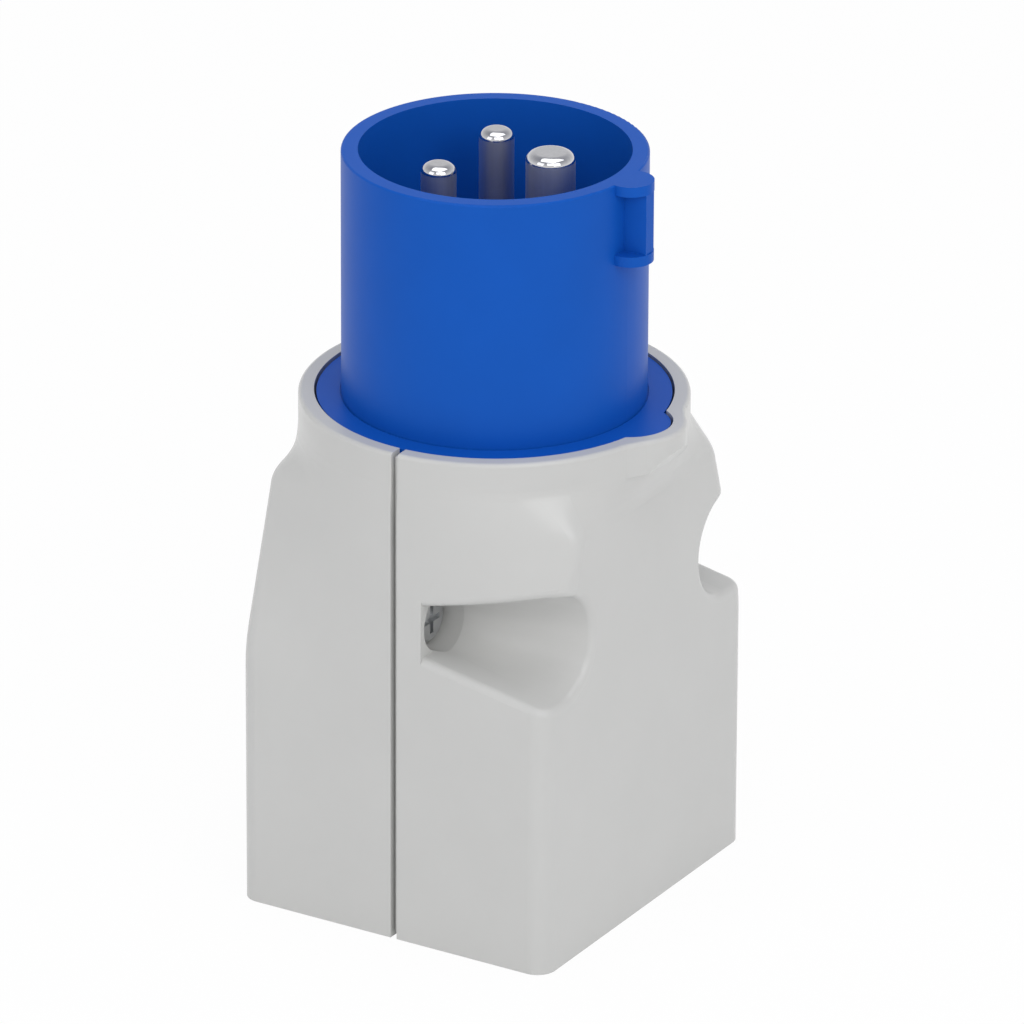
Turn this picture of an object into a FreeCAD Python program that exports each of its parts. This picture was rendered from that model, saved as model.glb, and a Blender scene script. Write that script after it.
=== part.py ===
import FreeCAD, Part
import math
import os
import re
import Sketcher

# Plug adapter: a blue three-pin industrial plug on top of a grey two-part housing,
# with an earthed household socket sunk into the bottom face.
# Frame: +Z up along the sleeve's axis, Z = 0 on the housing's bottom face, the two
# halves part on X = 0, and the latch lug and the screw pockets are towards +X.

SIZES = [
    # Grey housing
    ("housing_width", 51.0, "across both halves, along X"),
    ("housing_depth", 56.0, "front to back, along Y"),
    ("corner_round", 2.9, "radius of the four upright corners"),
    ("wall_thickness", 2.5, "side walls"),
    ("bottom_thickness", 3.0, "wall around the socket"),
    ("knee_height", 39.2, "where the front and back start to bow"),
    ("knee_blend", 3.0, "half the height of the soft knee"),
    ("bow_slope", 0.37, "how far the corners come in for each mm above the knee"),
    ("shoulder_right", 64.3, "where the right half's shoulder starts"),
    ("shoulder_left", 63.4, "where the left half's shoulder starts"),
    ("shoulder_waist", 67.0, "where the left half's shoulder is down to the ring"),
    ("shoulder_blend", 1.3, "half the height of the soft edges of the shoulder"),
    ("shoulder_turn", 42.0, "where the corners run out on the ring, degrees from the X axis"),
    ("shoulder_spread", 5.0, "half the width of the corners there, degrees"),
    ("collar_radius", 27.8, "ring around the plug's flange"),
    ("collar_wall", 2.25, "wall of that ring"),
    ("collar_draft", 0.2, "how much thicker the left half is at the shoulder's waist"),
    ("collar_foot", 69.8, "lower edge of the ring"),
    ("collar_blend", 0.7, "half the height of the soft edge there"),
    ("collar_top", 74.8, "rim of the ring"),
    ("collar_round", 0.6, "edge of the rim"),
    ("key_inset", 3.2, "centre of the keying lobe inside the flange's edge, towards +X"),
    ("key_radius", 6.0, "lobe of the flange"),
    ("key_wall", 2.0, "housing wall around the lobe"),
    ("key_foot", 69.8, "lower edge of that wall"),
    ("key_slant", 2.5, "height of its slanted underside"),
    ("key_ledge", 1.0, "level edge of that underside"),
    ("key_leave", 18.0, "where the wall's flank leaves the ring, degrees from the X axis"),
    ("key_meet", 36.0, "where it meets the lobe, degrees about the lobe's centre"),
    # Joint between the halves
    ("seam_width", 1.0, "open groove along the joint"),
    ("seam_deep", 0.65, "depth of that groove"),
    ("seam_gap", 0.3, "narrow gap at the foot of the tongue"),
    ("seam_gap_deep", 0.5, "how far that gap goes into the tongue"),
    ("lip_thickness", 0.9, "tongue of the left half"),
    ("lip_reach", 1.8, "how far the tongue enters the right half"),
    ("fit_gap", 0.1, "clearance between fitted pieces"),
    # Housing screws and their pockets
    ("screw_inset", 5.2, "screw axis inside the front and back faces"),
    ("screw_level", 48.4, "height of the screw axis"),
    ("screw_seat", 2.0, "wall under the screw head"),
    ("pocket_start", 4.9, "end wall of the open slot"),
    ("pocket_small", 3.9, "half height of the slot at its end wall"),
    ("pocket_large", 8.0, "half height of the slot at the side face"),
    ("pocket_bore", 4.2, "round bore down to the screw head"),
    ("pocket_wall", 2.2, "wall behind the pocket"),
    ("mouth_round", 1.2, "rounded mouth of the slot"),
    ("boss_radius", 4.0, "screw boss of the left half"),
    ("boss_length", 19.0, "screw boss from the joint"),
    ("screw_radius", 1.75, "housing screw thread"),
    ("screw_length", 17.0, "housing screw under its head"),
    ("screw_head", 3.4, "radius of the housing screw head"),
    ("head_height", 1.6, "height of the housing screw head"),
    # Plug sleeve
    ("sleeve_radius", 21.7, "outside of the plug sleeve"),
    ("sleeve_wall", 2.4, "wall of the plug sleeve"),
    ("sleeve_rim", 111.2, "top of the plug sleeve"),
    ("rim_round", 0.3, "edge of the sleeve rim"),
    ("cup_floor", 74.0, "floor around the pins"),
    ("cup_thickness", 5.0, "thickness of that floor"),
    ("flange_top", 74.5, "top of the flange"),
    ("flange_thickness", 3.4, "thickness of the flange"),
    ("foot_groove", 0.2, "fine groove where the sleeve meets the flange"),
    ("flange_gap", 0.35, "gap between flange and collar"),
    ("ring_radius", 23.4, "retaining ring gripped by the halves"),
    ("ring_top", 67.4, "top of the retaining ring"),
    ("ring_thickness", 3.4, "thickness of the retaining ring"),
    ("skirt_bottom", 62.5, "lower end of the sleeve inside the housing"),
    ("skirt_radius", 21.0, "outside of that end"),
    ("skirt_wall", 2.5, "wall of that end"),
    # Latch lug
    ("lug_offset", 22.1, "centre of the lug's round webs"),
    ("lug_radius", 3.3, "radius of the webs"),
    ("lug_web", 1.5, "thickness of each web"),
    ("lug_height", 12.0, "height over both webs"),
    ("lug_rib", 1.05, "half width of the rib between the webs"),
    # Plug pins
    ("pin_circle", 9.05, "pin axes from the middle"),
    ("line_pin", 2.5, "radius of the live and neutral pins"),
    ("earth_pin", 3.5, "radius of the earth pin"),
    ("line_tip", 110.7, "tips of the live and neutral pins"),
    ("earth_tip", 112.6, "tip of the earth pin"),
    ("tip_round", 1.3, "rounding of the pin tips"),
    ("pin_neck", 0.3, "how much thicker the pins are inside the sleeve's floor"),
    ("collar_pin", 4.7, "radius of the pins' shoulder"),
    ("shoulder_pin", 2.0, "height of the pins' shoulder"),
    ("tail_radius", 4.0, "terminal end of the pins"),
    ("tail_bottom", 54.0, "lower end of the pins"),
    ("wire_bore", 1.75, "hole for the stripped wire"),
    ("bore_depth", 6.5, "depth of that hole"),
    ("terminal_radius", 1.9, "terminal screws"),
    ("terminal_head", 2.6, "radius of the terminal screw heads"),
    ("terminal_cap", 1.6, "height of the terminal screw heads"),
    # Plate that holds the pins
    ("plate_thickness", 4.0, "pin plate"),
    ("plate_radius", 17.8, "outside of the pin plate"),
    ("plate_screw_circle", 12.6, "pin plate screws from the middle"),
    ("plate_screw", 1.4, "radius of the pin plate screws"),
    ("plate_screw_long", 7.4, "pin plate screws under their heads"),
    ("plate_screw_head", 2.6, "radius of their heads"),
    ("plate_screw_cap", 1.8, "height of their heads"),
    # Socket
    ("socket_radius", 19.5, "round recess for the household plug"),
    ("socket_deep", 17.5, "depth of the recess"),
    ("socket_wall", 2.0, "wall of the socket cup"),
    ("socket_inset", 0.4, "socket rim above the bottom face"),
    ("socket_floor", 4.0, "floor of the socket cup"),
    ("socket_flange", 22.8, "flange held by the halves"),
    ("socket_flange_thick", 2.2, "thickness of that flange"),
    ("ear_width", 9.6, "housing of each earth clip, along X"),
    ("ear_reach", 22.9, "outside of each earth clip's housing"),
    ("slot_width", 5.8, "slot for each earth clip"),
    ("slot_reach", 21.2, "outside of that slot"),
    ("slot_start", 3.0, "lower end of that slot"),
    ("guide_width", 5.0, "guide ribs of the recess"),
    ("guide_height", 2.4, "how far the guide ribs stand in"),
    ("hole_pitch", 9.5, "contact holes from the middle, along X"),
    ("hole_radius", 2.9, "contact holes in the recess floor"),
    ("contact_bore", 2.45, "inside of the contact tubes"),
    ("contact_wall", 0.85, "wall of the contact tubes"),
    ("contact_slit", 0.8, "slit of the contact tubes"),
    ("block_level", 32.0, "lower face of the terminal blocks"),
    ("block_height", 7.5, "height of the terminal blocks"),
    ("block_width", 7.4, "terminal blocks, along Y"),
    ("terminal_room", 3.4, "room between the terminal blocks and the side walls"),
    ("wire_inset", 3.4, "wire holes of the terminal blocks from their outer ends"),
    ("carrier_radius", 19.0, "contact carrier"),
    ("strap_width", 5.0, "earth strap"),
    ("strap_thickness", 0.8, "earth strap"),
    ("strap_reach", 20.7, "outside of the strap's legs"),
    ("clip_inset", 1.9, "how far the clips bulge inwards"),
    ("clip_level", 9.5, "height of that bulge"),
    ("clip_end", 4.6, "free end of the clips"),
    ("clip_shoulder", 14.0, "where the clips start to bend"),
    ("earth_offset", 11.6, "earth terminal from the middle, towards -Y"),
    ("rivet_radius", 1.4, "rivet under the earth terminal"),
    ("centre_screw", 1.7, "radius of the socket's centre screw"),
    ("centre_head", 3.3, "radius of its head"),
    ("centre_cap", 2.0, "height of its head"),
    ("centre_length", 8.0, "length under its head"),
    # Slots in the screw heads, as shares of the head's radius
    ("cross_share", 0.62, "half the length of a cross slot"),
    ("slot_share", 0.13, "half the width of any slot"),
    # Wires
    ("core_radius", 1.05, "stripped wire"),
    ("wire_radius", 1.6, "wire with its insulation"),
    ("wire_bend", 4.6, "radius of the bends in the wires"),
    ("wire_straight", 5.6, "insulated run straight out of each terminal, to the bend's corner"),
    # Ribs inside the housing
    ("rib_thickness", 2.0, "ribs inside the housing"),
    ("clamp_start", 5.0, "clamping ribs, from the joint"),
    ("clamp_end", 10.0, "clamping ribs, far side"),
    ("clamp_reach", 14.6, "clamping ribs, from the middle along Y"),
    ("roof_slope", 0.46, "how far the inside comes in for each mm above the knee"),
]

doc = FreeCAD.newDocument("plug_adapter")
sheet = doc.addObject("Spreadsheet::Sheet", "sizes")
for row, (alias, number, note) in enumerate(SIZES, 1):
    sheet.set("A%d" % row, alias)
    sheet.set("B%d" % row, str(number))
    sheet.set("C%d" % row, note)
    sheet.setAlias("B%d" % row, alias)
doc.recompute()

V = FreeCAD.Vector
UP = V(0, 0, 1)
FLAT = 1e-6         # bulge under which an edge is straight, mm
SPOTS = ("side", "end", "corner", "turn", "back")
derived = []


def bound(text):
    """An expression in plain aliases, written as the document needs it."""
    return re.sub(r"\b([a-z]+(?:_[a-z]+)+)\b", r"sizes.\1", text)


def number(text):
    """The value of an expression in plain aliases."""
    result = sheet.evalExpression(bound(text))
    return float(getattr(result, "Value", result))


def derive(name, text):
    """Adds a size worked out from the others to the sheet and gives back its name."""
    row = len(SIZES) + 1 + len(derived)
    derived.append(name)
    sheet.set("A%d" % row, name)
    sheet.set("B%d" % row, "=" + text)
    sheet.setAlias("B%d" % row, name)
    sheet.recompute()
    return name


derive("flange_radius", "collar_radius - collar_wall - flange_gap")
derive("key_offset", "flange_radius - key_inset")
derive("key_reach", "key_radius + flange_gap + key_wall")
derive("screw_across", "housing_depth / 2 - screw_inset")
derive("block_reach", "housing_width / 2 - wall_thickness - terminal_room")
derive("wire_offset", "block_reach - wire_inset")


def new_body(label):
    body = doc.addObject("PartDesign::Body", label)
    body.Label = label
    return body


def new_sketch(body, name, role, lift="0"):
    """A sketch on one of the body's own planes, moved along its normal by lift."""
    sketch = body.newObject("Sketcher::SketchObject", name)
    plane = next(item for item in body.Origin.OriginFeatures if item.Role == role)
    sketch.AttachmentSupport = [(plane, "")]
    sketch.MapMode = "FlatFace"
    sketch.setExpression("AttachmentOffset.Base.z", bound(lift))
    return sketch


def hold(sketch, kind, geometry, point, text):
    """Ties one coordinate of a point to an expression."""
    index = sketch.addConstraint(Sketcher.Constraint(kind, -1, 1, geometry, point, number(text)))
    sketch.setExpression("Constraints[%d]" % index, bound(text))


def outline(sketch, corners):
    """A closed outline of straight runs through corners given as expressions."""
    places = [V(number(u), number(v), 0) for u, v in corners]
    first = sketch.GeometryCount
    for start, end in zip(places, places[1:] + places[:1]):
        sketch.addGeometry(Part.LineSegment(start, end))
    count = len(places)
    for index in range(count):
        following = first + (index + 1) % count
        sketch.addConstraint(Sketcher.Constraint("Coincident", first + index, 2, following, 1))
    for index, (u, v) in enumerate(corners):
        hold(sketch, "DistanceX", first + index, 1, u)
        hold(sketch, "DistanceY", first + index, 1, v)


def box_outline(sketch, left, low, right, high):
    outline(sketch, [(left, low), (right, low), (right, high), (left, high)])


def circle(sketch, u, v, radius):
    index = sketch.addGeometry(Part.Circle(V(number(u), number(v), 0), UP, number(radius)))
    hold(sketch, "DistanceX", index, 3, u)
    hold(sketch, "DistanceY", index, 3, v)
    tie = sketch.addConstraint(Sketcher.Constraint("Radius", index, number(radius)))
    sketch.setExpression("Constraints[%d]" % tie, bound(radius))


def feature(body, kind, name, sketch):
    made = body.newObject("PartDesign::" + kind, name)
    made.Profile = sketch
    return made


def extrude(body, kind, sketch, length, backwards=False):
    """A Pad or Pocket; a Pocket has to take material away and a Pad has to add it."""
    before = volume(body)
    made = feature(body, kind, kind.lower() + "_" + sketch.Name, sketch)
    made.setExpression("Length", bound(length))
    made.Reversed = backwards
    doc.recompute()
    compare(body, kind == "Pad", before, made)
    return made


def turn(body, kind, sketch):
    """A Revolution or Groove of a sketch about its upright axis."""
    before = volume(body)
    made = feature(body, kind, kind.lower() + "_" + sketch.Name, sketch)
    made.ReferenceAxis = (sketch, ["V_Axis"])
    made.Angle = 360
    doc.recompute()
    compare(body, kind == "Revolution", before, made)
    return made


def volume(body):
    doc.recompute()
    return 0.0 if body.Shape.isNull() else body.Shape.Volume


def compare(body, adding, before, made):
    after = body.Shape.Volume
    if (after > before) != adding or abs(after - before) < 1e-6:
        raise RuntimeError("%s of %s changed nothing" % (made.Name, body.Label))


def dress(body, kind, size, chosen, name):
    """A Fillet or Chamfer on the edges of the body that the test picks."""
    doc.recompute()
    shape = body.Tip.Shape
    names = ["Edge%d" % index for index, edge in enumerate(shape.Edges, 1) if chosen(edge)]
    if not names:
        raise RuntimeError("no edge found for %s of %s" % (name, body.Label))
    made = body.newObject("PartDesign::" + kind, name)
    made.Base = (made.BaseFeature, names)
    made.setExpression("Radius" if kind == "Fillet" else "Size", bound(size))
    doc.recompute()
    return made


def near(a, b, within=1e-4):
    return abs(a - b) < within


def round_edge(radius, height):
    """A test for a full circle about the sleeve's axis at one height."""
    def test(edge):
        curve = edge.Curve
        return (isinstance(curve, Part.Circle) and near(curve.Radius, number(radius))
                and near(curve.Center.z, number(height)) and near(curve.Center.x, 0))
    return test


# Grey housing
# A station is a quarter of a level section, from the side to the back, as five places:
# middle of the side, end of the side, middle of the corner, end of the back, middle of the back.

def station(name, places):
    """Puts the ten coordinates of a station in the sheet."""
    return [(derive("%s_across_%s" % (name, spot), across), derive("%s_along_%s" % (name, spot), along))
            for spot, (across, along) in zip(SPOTS, places)]


def box_station(name):
    """Station of the straight lower part."""
    across, along = "(housing_width / 2 - corner_round)", "(housing_depth / 2 - corner_round)"
    return station(name, [
        ("housing_width / 2", "0"),
        ("housing_width / 2", along),
        (across + " + corner_round * cos(45 deg)", along + " + corner_round * sin(45 deg)"),
        (across, "housing_depth / 2"),
        ("0", "housing_depth / 2"),
    ])


def bowed_station(name, drop):
    """Station where the corners have come in by drop and the front and back are arcs."""
    bow = derive(name + "_bow", drop)
    arc = derive(name + "_arc", "(housing_width ^ 2 / 4 + %s ^ 2) / (2 * %s)" % (bow, bow))
    hub = derive(name + "_hub", "housing_depth / 2 - %s" % arc)
    across = derive(name + "_across", "housing_width / 2 - corner_round")
    along = derive(name + "_along", "sqrt((%s - corner_round) ^ 2 - %s ^ 2)" % (arc, across))
    turned = derive(name + "_turned", "atan2(%s; %s)" % (along, across))
    return station(name, [
        ("housing_width / 2", "0"),
        ("housing_width / 2", "%s + %s" % (hub, along)),
        ("%s + corner_round * cos(%s / 2)" % (across, turned),
         "%s + %s + corner_round * sin(%s / 2)" % (hub, along, turned)),
        ("%s * cos(%s)" % (arc, turned), "%s + %s * sin(%s)" % (hub, arc, turned)),
        ("0", "housing_depth / 2"),
    ])


def ring_station(name, radius):
    """Station on a circle."""
    turns = ("0 deg", "(shoulder_turn - shoulder_spread) * 1 deg", "shoulder_turn * 1 deg",
             "(shoulder_turn + shoulder_spread) * 1 deg", "90 deg")
    return station(name, [("(%s) * cos(%s)" % (radius, turned), "(%s) * sin(%s)" % (radius, turned))
                          for turned in turns])


def between(name, start, end, share):
    """Station part of the way from one to another."""
    return station(name, [tuple("%s + (%s - %s) * (%s)" % (a, b, a, share) for a, b in zip(first, last))
                          for first, last in zip(start, end)])


def softened(name, below, corner, above):
    """Station at a soft edge, so that a smooth loft through the three leaves and arrives in line."""
    return station(name, [tuple("(%s + 2 * %s + %s) / 4" % trio for trio in zip(*places))
                          for places in zip(below, corner, above)])


def section(body, name, level, places):
    """Closed sketch of a whole section: the station mirrored to all four corners."""
    sketch = new_sketch(body, name, "XY_Plane", level)
    side, side_end, corner, back_end, back = places
    right = [(side_end, 1, -1), (side, 1, 1), (side_end, 1, 1), (corner, 1, 1), (back_end, 1, 1),
             (back, 1, 1)]
    left = [(back_end, -1, 1), (corner, -1, 1), (side_end, -1, 1), (side, -1, 1)]
    front = [(side_end, -1, -1), (corner, -1, -1), (back_end, -1, -1), (back, 1, -1), (back_end, 1, -1),
             (corner, 1, -1)]
    spots = [(("-" if x < 0 else "") + spot[0], ("-" if y < 0 else "") + spot[1])
             for spot, x, y in right + left + front]
    count = len(spots) // 2
    marked = []
    for index in range(count):
        start, middle, end = (spots[(2 * index + step) % len(spots)] for step in range(3))
        a, m, b = (V(number(u), number(v), 0) for u, v in (start, middle, end))
        straight = (a + b).multiply(0.5).distanceToPoint(m) < FLAT
        sketch.addGeometry(Part.LineSegment(a, b) if straight else Part.Arc(a, m, b))
        hold(sketch, "DistanceX", index, 1, start[0])
        hold(sketch, "DistanceY", index, 1, start[1])
        if not straight:
            marked.append((index, middle))
    for index in range(count):
        sketch.addConstraint(Sketcher.Constraint("Coincident", index, 2, (index + 1) % count, 1))
    for index, middle in marked:
        mark = sketch.addGeometry(Part.Point(V(number(middle[0]), number(middle[1]), 0)), True)
        hold(sketch, "DistanceX", mark, 1, middle[0])
        hold(sketch, "DistanceY", mark, 1, middle[1])
        sketch.addConstraint(Sketcher.Constraint("PointOnObject", mark, 1, index))
    return sketch


def loft(body, kind, name, sections, ruled):
    made = body.newObject("PartDesign::" + kind, name)
    made.Profile = sections[0]
    made.Sections = sections[1:]
    made.Ruled = ruled
    doc.recompute()
    return made


def rise(body, name, levels, ruled):
    """A loft up through stations at their levels."""
    sections = [section(body, "%s_%d" % (name, index), level, places)
                for index, (level, places) in enumerate(levels, 1)]
    return loft(body, "AdditiveLoft", name, sections, ruled)


def housing_form(side):
    """Outer form of the whole housing, solid, with the shoulder of one half."""
    body = new_body("form_" + side)
    low = "shoulder_" + side
    box = box_station(side + "_box")
    foot = section(body, side + "_foot", "0", box)
    extrude(body, "Pad", foot, "knee_height - knee_blend")
    middle = bowed_station(side + "_knee", "bow_slope * knee_blend / 4")
    start = bowed_station(side + "_start", "bow_slope * knee_blend")
    below = bowed_station(side + "_below", "bow_slope * (%s - shoulder_blend - knee_height)" % low)
    rise(body, side + "_knee", [("knee_height - knee_blend", box), ("knee_height", middle),
                                ("knee_height + knee_blend", start)], False)
    rise(body, side + "_bow", [("knee_height + knee_blend", start), (low + " - shoulder_blend", below)], True)

    corner = bowed_station(side + "_corner", "bow_slope * (%s - knee_height)" % low)
    ring = ring_station(side + "_ring", "collar_radius")
    if side == "left":
        level, blend = "shoulder_waist", "shoulder_blend"
        waist = ring_station(side + "_waist", "collar_radius + collar_draft")
        run, climb = "(shoulder_waist - %s)" % low, "(collar_foot - shoulder_waist)"
        above = between(side + "_above", corner, waist, "shoulder_blend / " + run)
        before = between(side + "_before", waist, corner, "shoulder_blend / " + run)
        after = between(side + "_after", waist, ring, "shoulder_blend / " + climb)
        edge = softened(side + "_soft", before, waist, after)
    else:
        level, blend = "collar_foot", "collar_blend"
        run = "(collar_foot - %s)" % low
        above = between(side + "_above", corner, ring, "shoulder_blend / " + run)
        before = between(side + "_before", ring, corner, "collar_blend / " + run)
        after = ring
        edge = softened(side + "_soft", before, ring, ring)
    crest = softened(side + "_crest", below, corner, above)
    rise(body, side + "_crest", [(low + " - shoulder_blend", below), (low, crest),
                                 (low + " + shoulder_blend", above)], False)
    rise(body, side + "_shoulder", [(low + " + shoulder_blend", above),
                                    (level + " - " + blend, before)], True)
    rise(body, side + "_waist", [(level + " - " + blend, before), (level, edge),
                                 (level + " + " + blend, after)], False)
    collar_start = level + " + " + blend
    if side == "left":
        rise(body, "left_collar_foot", [(collar_start, after), ("collar_foot", ring)], True)
        collar_start = "collar_foot"
    collar = new_sketch(body, side + "_collar", "XY_Plane", collar_start)
    circle(collar, "0", "0", "collar_radius")
    extrude(body, "Pad", collar, "collar_top - (%s)" % collar_start)
    if side == "right":
        lobe = new_sketch(body, "collar_lobe", "XY_Plane", "key_foot")
        circle(lobe, "key_offset", "0", "key_reach")
        extrude(body, "Pad", lobe, "collar_top - key_foot")
        flanks = new_sketch(body, "lobe_flanks", "XY_Plane", "key_foot")
        ring_side, lobe_side = ([text % turned for turned in ("cos", "sin")] for text in (
            "(collar_radius - fit_gap) * %s(key_leave * 1 deg)", "(key_reach - fit_gap) * %s(key_meet * 1 deg)"))
        lobe_side[0] += " + key_offset"
        outline(flanks, [(ring_side[0], "-" + ring_side[1]), (lobe_side[0], "-" + lobe_side[1]),
                         tuple(lobe_side), tuple(ring_side)])
        extrude(body, "Pad", flanks, "collar_top - key_foot")
        under = new_sketch(body, "lobe_under", "XZ_Plane")
        tip = "key_offset + key_reach + fit_gap"
        outline(under, [("collar_radius + key_ledge", "key_foot - fit_gap"), (tip, "key_foot - fit_gap"),
                        (tip, "key_foot + key_slant")])
        turn(body, "Groove", under)

    top = number("collar_top")

    def rim(edge):
        return near(edge.BoundBox.ZMin, top) and near(edge.BoundBox.ZMax, top)

    dress(body, "Fillet", "collar_round", rim, side + "_rim")
    return body


def housing_space():
    """The space inside both halves: box, tapering roof, and the seats of sleeve and socket."""
    body = new_body("housing_space")
    wide, deep = "(housing_width / 2 - wall_thickness)", "(housing_depth / 2 - wall_thickness)"
    low = new_sketch(body, "space_low", "XY_Plane", "bottom_thickness")
    box_outline(low, "-" + wide, "-" + deep, wide, deep)
    extrude(body, "Pad", low, "knee_height - knee_blend - bottom_thickness")
    base = new_sketch(body, "roof_low", "XY_Plane", "knee_height - knee_blend")
    box_outline(base, "-" + wide, "-" + deep, wide, deep)
    top = new_sketch(body, "roof_high", "XY_Plane", "skirt_bottom - rib_thickness")
    drop = "(%s - roof_slope * (skirt_bottom - rib_thickness - knee_height))" % deep
    box_outline(top, "-" + wide, "-" + drop, wide, drop)
    loft(body, "AdditiveLoft", "roof", [base, top], True)

    seat = new_sketch(body, "sleeve_seat", "XZ_Plane")
    ring, neck = "ring_radius + fit_gap", "sleeve_radius + fit_gap"
    outline(seat, [
        ("0", "skirt_bottom - 2 * rib_thickness"),
        (neck, "skirt_bottom - 2 * rib_thickness"),
        (neck, "ring_top - ring_thickness - fit_gap"),
        (ring, "ring_top - ring_thickness - fit_gap"),
        (ring, "ring_top + fit_gap"),
        (neck, "ring_top + fit_gap"),
        (neck, "flange_top - flange_thickness"),
        ("flange_radius + flange_gap", "flange_top - flange_thickness"),
        ("flange_radius + flange_gap", "collar_top + bottom_thickness"),
        ("0", "collar_top + bottom_thickness"),
    ])
    turn(body, "Revolution", seat)
    lobe = new_sketch(body, "lobe_seat", "XY_Plane", "flange_top - flange_thickness")
    circle(lobe, "key_offset", "0", "key_radius + flange_gap")
    extrude(body, "Pad", lobe, "collar_top + bottom_thickness - flange_top + flange_thickness")
    opening = new_sketch(body, "socket_opening", "XY_Plane", "-bottom_thickness")
    circle(opening, "0", "0", "socket_radius + socket_wall + fit_gap")
    extrude(body, "Pad", opening, "3 * bottom_thickness")
    return body


def socket_shelf():
    """Ribs that hold the socket's flange down: a plate with a round hole and two bays."""
    body = new_body("socket_shelf")
    plate = new_sketch(body, "shelf_plate", "XY_Plane",
                       "bottom_thickness + socket_flange_thick + 2 * fit_gap")
    box_outline(plate, "-housing_width / 2", "-housing_depth / 2", "housing_width / 2", "housing_depth / 2")
    circle(plate, "0", "0", "socket_radius + socket_wall + fit_gap")
    extrude(body, "Pad", plate, "rib_thickness")
    bay = new_sketch(body, "shelf_bay", "XY_Plane", "bottom_thickness")
    wide, deep = "(ear_width / 2 + 2 * fit_gap)", "(ear_reach + 2 * fit_gap)"
    box_outline(bay, "-" + wide, "-" + deep, wide, deep)
    extrude(body, "Pocket", bay, "socket_deep", True)
    return body


def part_object(kind, name, sizes, place=None, axis=None):
    """A Part primitive with its sizes and place bound to the sheet."""
    made = doc.addObject("Part::" + kind, name)
    for key, text in sizes.items():
        made.setExpression(key, bound(text))
    if axis is not None:
        made.Placement.Rotation = FreeCAD.Rotation(UP, axis)
    for key, text in zip("xyz", place or ("0", "0", "0")):
        made.setExpression("Placement.Base." + key, bound(text))
    return made


def clamp_ribs(side, away):
    """Two ribs of one half that keep the contact carrier down."""
    left = "clamp_start" if away > 0 else "-clamp_end"
    reach = "(housing_depth / 2 - clamp_reach)"
    sizes = {"Length": "clamp_end - clamp_start", "Width": reach, "Height": "rib_thickness"}
    level = "block_level + fit_gap"
    return [part_object("Box", side + "_rib_front", sizes, (left, "-housing_depth / 2", level)),
            part_object("Box", side + "_rib_back", sizes, (left, "clamp_reach", level))]


def fuse(name, shapes):
    made = doc.addObject("Part::MultiFuse", name)
    made.Shapes = shapes
    return made


def cut(name, base, tool):
    made = doc.addObject("Part::Cut", name)
    made.Base, made.Tool = base, tool
    return made


def half_blank(side, inside, kept, away):
    """One half: its share of the form, less the inside, with its ribs and bosses left standing."""
    block = part_object("Box", side + "_block",
                        {"Length": "housing_width", "Width": "2 * housing_depth", "Height": "2 * collar_top"},
                        ("0" if away > 0 else "-housing_width", "-housing_depth", "-bottom_thickness"))
    share = doc.addObject("Part::Common", side + "_share")
    share.Base, share.Tool = housing_form(side), block
    blank = cut(side + "_blank", share, cut(side + "_inside", inside, fuse(side + "_kept", kept)))
    doc.recompute()
    return blank


def based_body(label, base):
    """A body that goes on from a shape made before it."""
    body = new_body(label)
    body.BaseFeature = base
    doc.recompute()
    return body


def lip_corners(back, slack):
    """Half of the tongue around the joint; slack is what its slot leaves on each side."""
    outer = "(collar_radius - seam_deep + %s)" % slack
    inner = "(collar_radius - seam_deep - lip_thickness - %s)" % slack
    hole = "(socket_radius + socket_wall + fit_gap - %s)" % slack
    bore = "(flange_radius + flange_gap - %s)" % slack
    corners = [
        (hole, "seam_deep - %s" % slack),
        (outer, "seam_deep - %s" % slack),
        (outer, "collar_top - seam_deep + %s" % slack),
        (bore, "collar_top - seam_deep + %s" % slack),
        (bore, "collar_top - seam_deep - lip_thickness - %s" % slack),
        (inner, "collar_top - seam_deep - lip_thickness - %s" % slack),
        (inner, "seam_deep + lip_thickness + %s" % slack),
        (hole, "seam_deep + lip_thickness + %s" % slack),
    ]
    return corners if back else [("-" + u, v) for u, v in corners]


def seam_outline(sketch, depth):
    """A frame around the joint that cuts depth into it from outside."""
    box_outline(sketch, "-housing_depth", "-bottom_thickness", "housing_depth",
                "collar_top + wall_thickness")
    edge = "(collar_radius - %s)" % depth
    box_outline(sketch, "-" + edge, depth, edge, "collar_top - " + depth)


ENDS = (("front", "-"), ("back", ""))


def housing_left(inside, shelf):
    bosses = [part_object("Cylinder", "boss_" + end, {"Radius": "boss_radius", "Height": "boss_length"},
                          ("-boss_length", sign + "screw_across", "screw_level"), V(1, 0, 0))
              for end, sign in ENDS]
    blank = half_blank("left", inside, [shelf] + clamp_ribs("left", -1) + bosses, -1)
    body = based_body("housing_left", blank)
    lip = new_sketch(body, "lip", "YZ_Plane")
    for end, sign in ENDS:
        outline(lip, lip_corners(end == "back", "0"))
    extrude(body, "Pad", lip, "lip_reach")
    gap = new_sketch(body, "tongue_gap", "YZ_Plane")
    seam_outline(gap, "(seam_deep + seam_gap_deep)")
    extrude(body, "Pocket", gap, "seam_gap", True)
    holes = new_sketch(body, "screw_holes", "YZ_Plane")
    for end, sign in ENDS:
        circle(holes, sign + "screw_across", "screw_level", "screw_radius + fit_gap")
    extrude(body, "Pocket", holes, "screw_length - screw_seat + 2 * fit_gap")
    return body


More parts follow.
